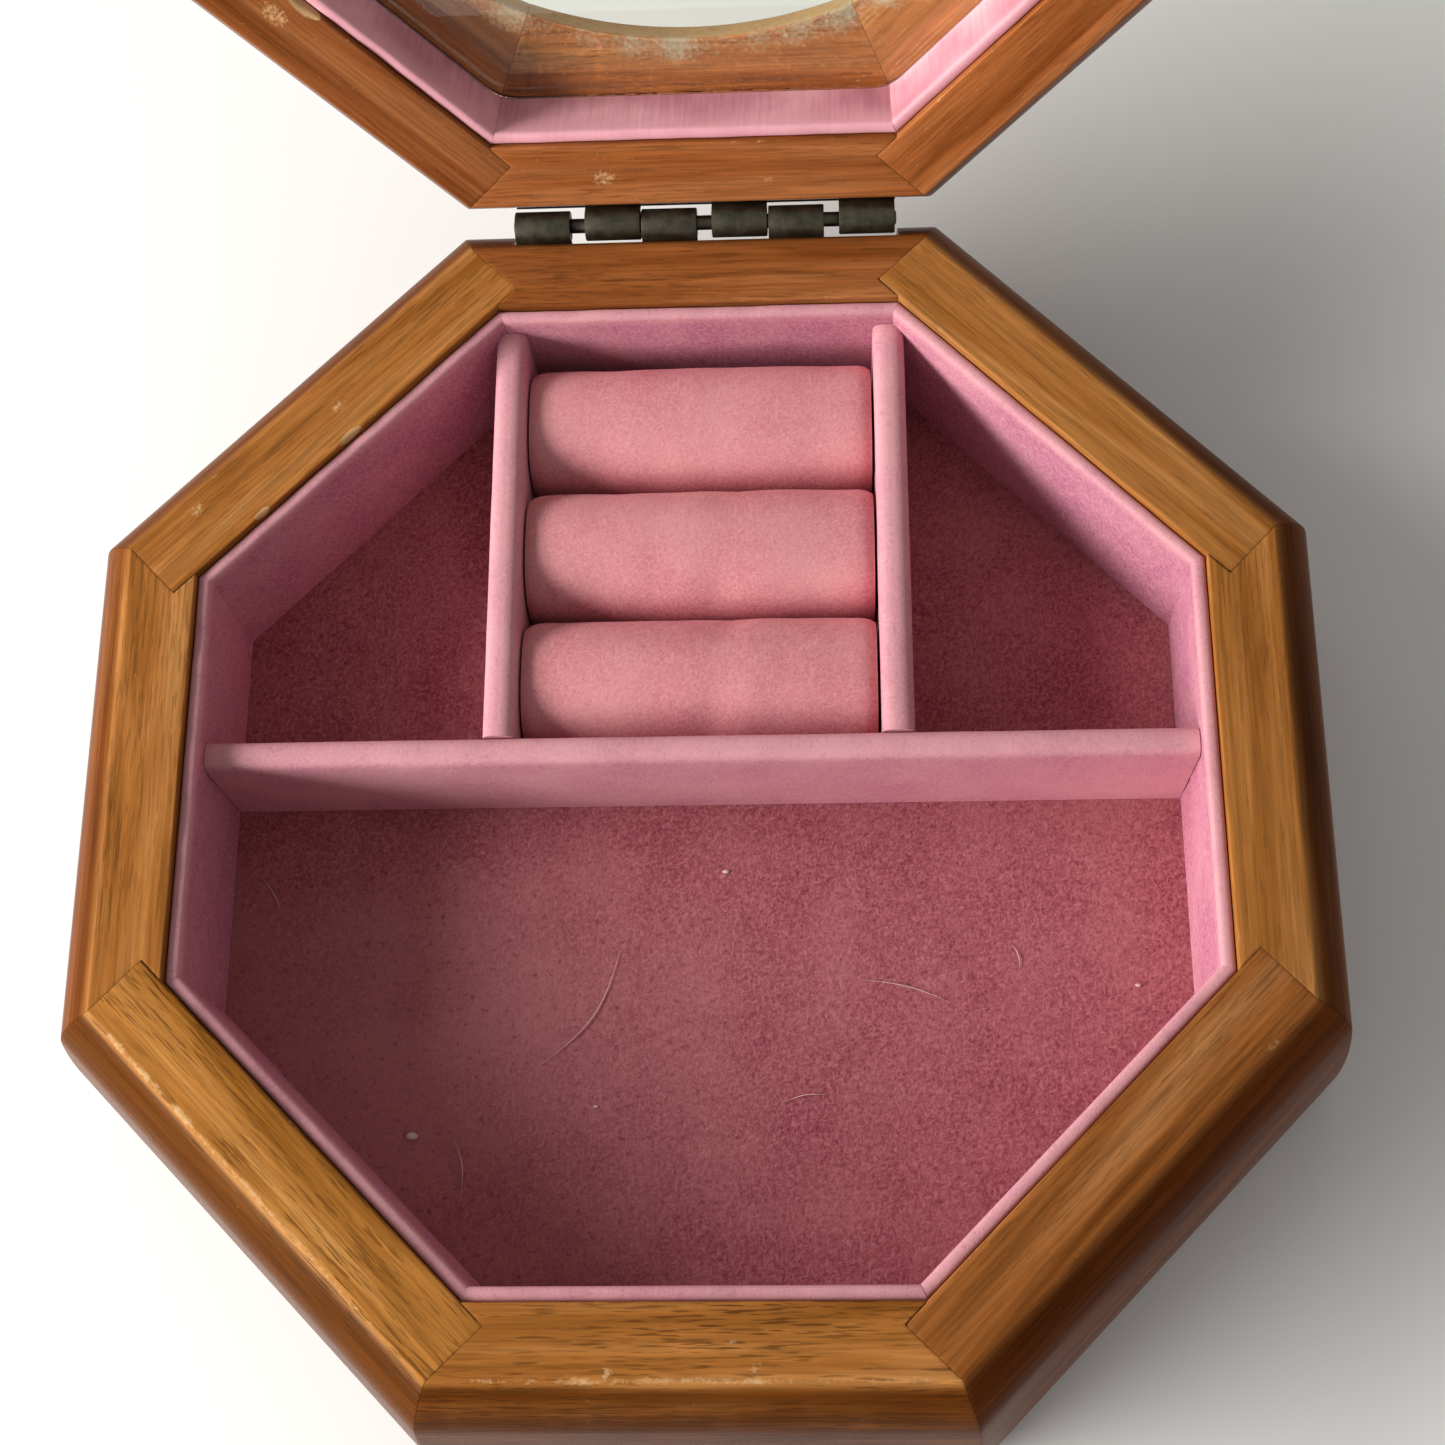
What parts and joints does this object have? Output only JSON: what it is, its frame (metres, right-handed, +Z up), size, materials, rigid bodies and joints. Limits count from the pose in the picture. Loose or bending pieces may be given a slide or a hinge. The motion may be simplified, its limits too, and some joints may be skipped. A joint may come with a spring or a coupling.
{
  "type": "jewelry box",
  "caption": "Octagonal wooden jewelry box with a moulded body, felt-lined compartments, ring rolls and a hinged lid with a round glazed window.",
  "frame": {"origin": "on the table, under the middle of the octagonal body", "axes": "+Z up, -Y the front, +Y the hinge side, +X to the right seen from the front"},
  "size_m": [0.2028, 0.2961, 0.2118],
  "materials": {
    "varnished_wood": "worn amber varnish on mahogany-like hardwood",
    "panel_wood": "plain board",
    "lining_felt": "pink felt over card",
    "roll_felt": "rose felt over a soft core",
    "floor_felt": "maroon-rose pile felt",
    "pane_glass": "clear",
    "hinge_metal": "dark antique bronze plating"
  },
  "bodies": {
    "base": {"bottom_panel": "panel_wood", "floor_pad": "floor_felt", "front_left_liner": "lining_felt", "front_left_rail": "varnished_wood", "front_liner": "lining_felt", "front_rail": "varnished_wood", "front_right_liner": "lining_felt", "front_right_rail": "varnished_wood", "front_ring_roll": "roll_felt", "hinge_body_leaf": "hinge_metal", "hinge_body_screws": "hinge_metal", "hinge_pin": "hinge_metal", "left_divider": "lining_felt", "left_liner": "lining_felt", "left_rail": "varnished_wood", "long_divider": "lining_felt", "middle_ring_roll": "roll_felt", "rear_left_liner": "lining_felt", "rear_left_rail": "varnished_wood", "rear_liner": "lining_felt", "rear_rail": "varnished_wood", "rear_right_liner": "lining_felt", "rear_right_rail": "varnished_wood", "rear_ring_roll": "roll_felt", "right_divider": "lining_felt", "right_liner": "lining_felt", "right_rail": "varnished_wood"},
    "lid": {"hinge_lid_leaf": "hinge_metal", "hinge_lid_screws": "hinge_metal", "lid_front_left_rail": "varnished_wood", "lid_front_left_strip": "lining_felt", "lid_front_rail": "varnished_wood", "lid_front_right_rail": "varnished_wood", "lid_front_right_strip": "lining_felt", "lid_front_strip": "lining_felt", "lid_left_rail": "varnished_wood", "lid_left_strip": "lining_felt", "lid_pane": "pane_glass", "lid_rear_left_rail": "varnished_wood", "lid_rear_left_strip": "lining_felt", "lid_rear_rail": "varnished_wood", "lid_rear_right_rail": "varnished_wood", "lid_rear_right_strip": "lining_felt", "lid_rear_strip": "lining_felt", "lid_right_rail": "varnished_wood", "lid_right_strip": "lining_felt"}
  },
  "joints": [
    {"name": "lid_hinge", "type": "hinge", "parent": "base", "child": "lid", "pos_m": [0.0013, 0.0948, 0.0442], "axis": [1, 0, 0], "range_deg": [0, 116]}
  ]
}
